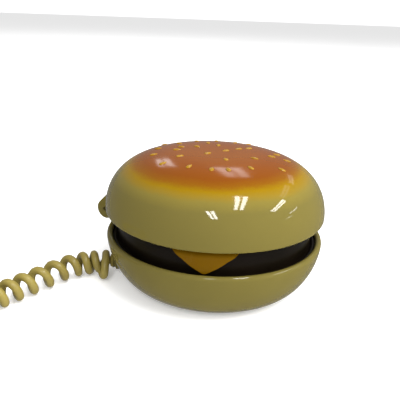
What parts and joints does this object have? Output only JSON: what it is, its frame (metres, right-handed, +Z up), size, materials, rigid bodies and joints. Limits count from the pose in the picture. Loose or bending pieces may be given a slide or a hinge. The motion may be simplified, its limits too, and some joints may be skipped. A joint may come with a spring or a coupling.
{
  "type": "hamburger-shaped folding telephone",
  "caption": "Corded novelty telephone shaped like a hamburger; the top bun hinges open over a keypad in the patty, with earpiece in the lid and a curly line cord.",
  "frame": {"origin": "centre of the closed phone's footprint on the table, cord left out", "axes": "+X from the hinge to the mouthpiece end, +Z up, +Y to the left of +X"},
  "size_m": [0.2283, 0.2251, 0.0796],
  "materials": {
    "bun_plastic": "glossy cream ABS, airbrushed orange-brown crust on the top bun",
    "patty_plastic": "glossy dark brown",
    "cheese_plastic": "satin mustard yellow",
    "black_rubber": "matt",
    "zinc_steel": "zinc plated",
    "capsule_aluminium": "satin",
    "sounder_brass": "satin",
    "board_laminate": "green solder mask",
    "cord_vinyl": "satin cream vinyl",
    "clear_plastic": "clear polycarbonate",
    "black_plastic": "fine matt"
  },
  "bodies": {
    "base": {"lower_bun_shell": "bun_plastic", "patty_deck": "patty_plastic", "cheese_slice": "cheese_plastic", "keypad_mat": "black_rubber", "main_circuit_board": "board_laminate", "microphone_boot": "black_rubber", "microphone_capsule": "capsule_aluminium", "hook_switch_body": "black_plastic", "tone_switch_body": "black_plastic", "ringer_switch_body": "black_plastic", "ballast_plate": "zinc_steel", "ringer_sounder": "sounder_brass", "rubber_foot_1": "black_rubber", "rubber_foot_2": "black_rubber", "rubber_foot_3": "black_rubber", "rubber_foot_4": "black_rubber", "base_screw_1": "zinc_steel", "base_screw_2": "zinc_steel", "base_screw_3": "zinc_steel", "base_screw_4": "zinc_steel", "hinge_pin": "zinc_steel", "cord_strain_relief": "cord_vinyl", "line_lead": "cord_vinyl", "receiver_lead_base": "black_plastic", "line_cord_curl": "cord_vinyl", "line_cord_tail": "cord_vinyl", "modular_plug": "clear_plastic"},
    "lid": {"top_bun_shell": "bun_plastic", "lid_inner_cover": "bun_plastic", "lid_screw_1": "zinc_steel", "lid_screw_2": "zinc_steel", "lid_screw_3": "zinc_steel", "receiver_gasket": "black_rubber", "receiver_capsule": "capsule_aluminium", "lid_bumper_1": "black_rubber", "lid_bumper_2": "black_rubber", "receiver_lead_lid": "black_plastic"},
    "key_1": {"key_1": "black_plastic"},
    "key_2": {"key_2": "black_plastic"},
    "key_3": {"key_3": "black_plastic"},
    "key_4": {"key_4": "black_plastic"},
    "key_5": {"key_5": "black_plastic"},
    "key_6": {"key_6": "black_plastic"},
    "key_7": {"key_7": "black_plastic"},
    "key_8": {"key_8": "black_plastic"},
    "key_9": {"key_9": "black_plastic"},
    "key_star": {"key_star": "black_plastic"},
    "key_0": {"key_0": "black_plastic"},
    "key_hash": {"key_hash": "black_plastic"},
    "key_redial": {"key_redial": "black_plastic"},
    "key_flash": {"key_flash": "black_plastic"},
    "hook_plunger": {"hook_plunger": "black_plastic"},
    "tone_switch_slider": {"tone_switch_slider": "black_plastic"},
    "ringer_switch_slider": {"ringer_switch_slider": "black_plastic"}
  },
  "joints": [
    {"name": "lid_hinge", "type": "hinge", "parent": "base", "child": "lid", "pos_m": [-0.06445, 0, 0.0343], "axis": [0, -1, 0], "range_deg": [0, 140]},
    {"name": "key_1_press", "type": "slide", "parent": "base", "child": "key_1", "axis": [0, 0, -1], "range_m": [0, 0.0012], "stiffness_N_per_m": 250},
    {"name": "key_2_press", "type": "slide", "parent": "base", "child": "key_2", "axis": [0, 0, -1], "range_m": [0, 0.0012], "stiffness_N_per_m": 250},
    {"name": "key_3_press", "type": "slide", "parent": "base", "child": "key_3", "axis": [0, 0, -1], "range_m": [0, 0.0012], "stiffness_N_per_m": 250},
    {"name": "key_4_press", "type": "slide", "parent": "base", "child": "key_4", "axis": [0, 0, -1], "range_m": [0, 0.0012], "stiffness_N_per_m": 250},
    {"name": "key_5_press", "type": "slide", "parent": "base", "child": "key_5", "axis": [0, 0, -1], "range_m": [0, 0.0012], "stiffness_N_per_m": 250},
    {"name": "key_6_press", "type": "slide", "parent": "base", "child": "key_6", "axis": [0, 0, -1], "range_m": [0, 0.0012], "stiffness_N_per_m": 250},
    {"name": "key_7_press", "type": "slide", "parent": "base", "child": "key_7", "axis": [0, 0, -1], "range_m": [0, 0.0012], "stiffness_N_per_m": 250},
    {"name": "key_8_press", "type": "slide", "parent": "base", "child": "key_8", "axis": [0, 0, -1], "range_m": [0, 0.0012], "stiffness_N_per_m": 250},
    {"name": "key_9_press", "type": "slide", "parent": "base", "child": "key_9", "axis": [0, 0, -1], "range_m": [0, 0.0012], "stiffness_N_per_m": 250},
    {"name": "key_star_press", "type": "slide", "parent": "base", "child": "key_star", "axis": [0, 0, -1], "range_m": [0, 0.0012], "stiffness_N_per_m": 250},
    {"name": "key_0_press", "type": "slide", "parent": "base", "child": "key_0", "axis": [0, 0, -1], "range_m": [0, 0.0012], "stiffness_N_per_m": 250},
    {"name": "key_hash_press", "type": "slide", "parent": "base", "child": "key_hash", "axis": [0, 0, -1], "range_m": [0, 0.0012], "stiffness_N_per_m": 250},
    {"name": "key_redial_press", "type": "slide", "parent": "base", "child": "key_redial", "axis": [0, 0, -1], "range_m": [0, 0.0012], "stiffness_N_per_m": 250},
    {"name": "key_flash_press", "type": "slide", "parent": "base", "child": "key_flash", "axis": [0, 0, -1], "range_m": [0, 0.0012], "stiffness_N_per_m": 250},
    {"name": "hook_plunger_lift", "type": "slide", "parent": "base", "child": "hook_plunger", "axis": [0, 0, 1], "range_m": [0, 0.0025]},
    {"name": "tone_switch_slide", "type": "slide", "parent": "base", "child": "tone_switch_slider", "axis": [1, 0, 0], "range_m": [0, 0.004]},
    {"name": "ringer_switch_slide", "type": "slide", "parent": "base", "child": "ringer_switch_slider", "axis": [1, 0, 0], "range_m": [0, 0.004]}
  ],
  "couplings": [
    {"joint": "hook_plunger_lift", "follows": "lid_hinge", "m_per_rad": 0.001018}
  ]
}
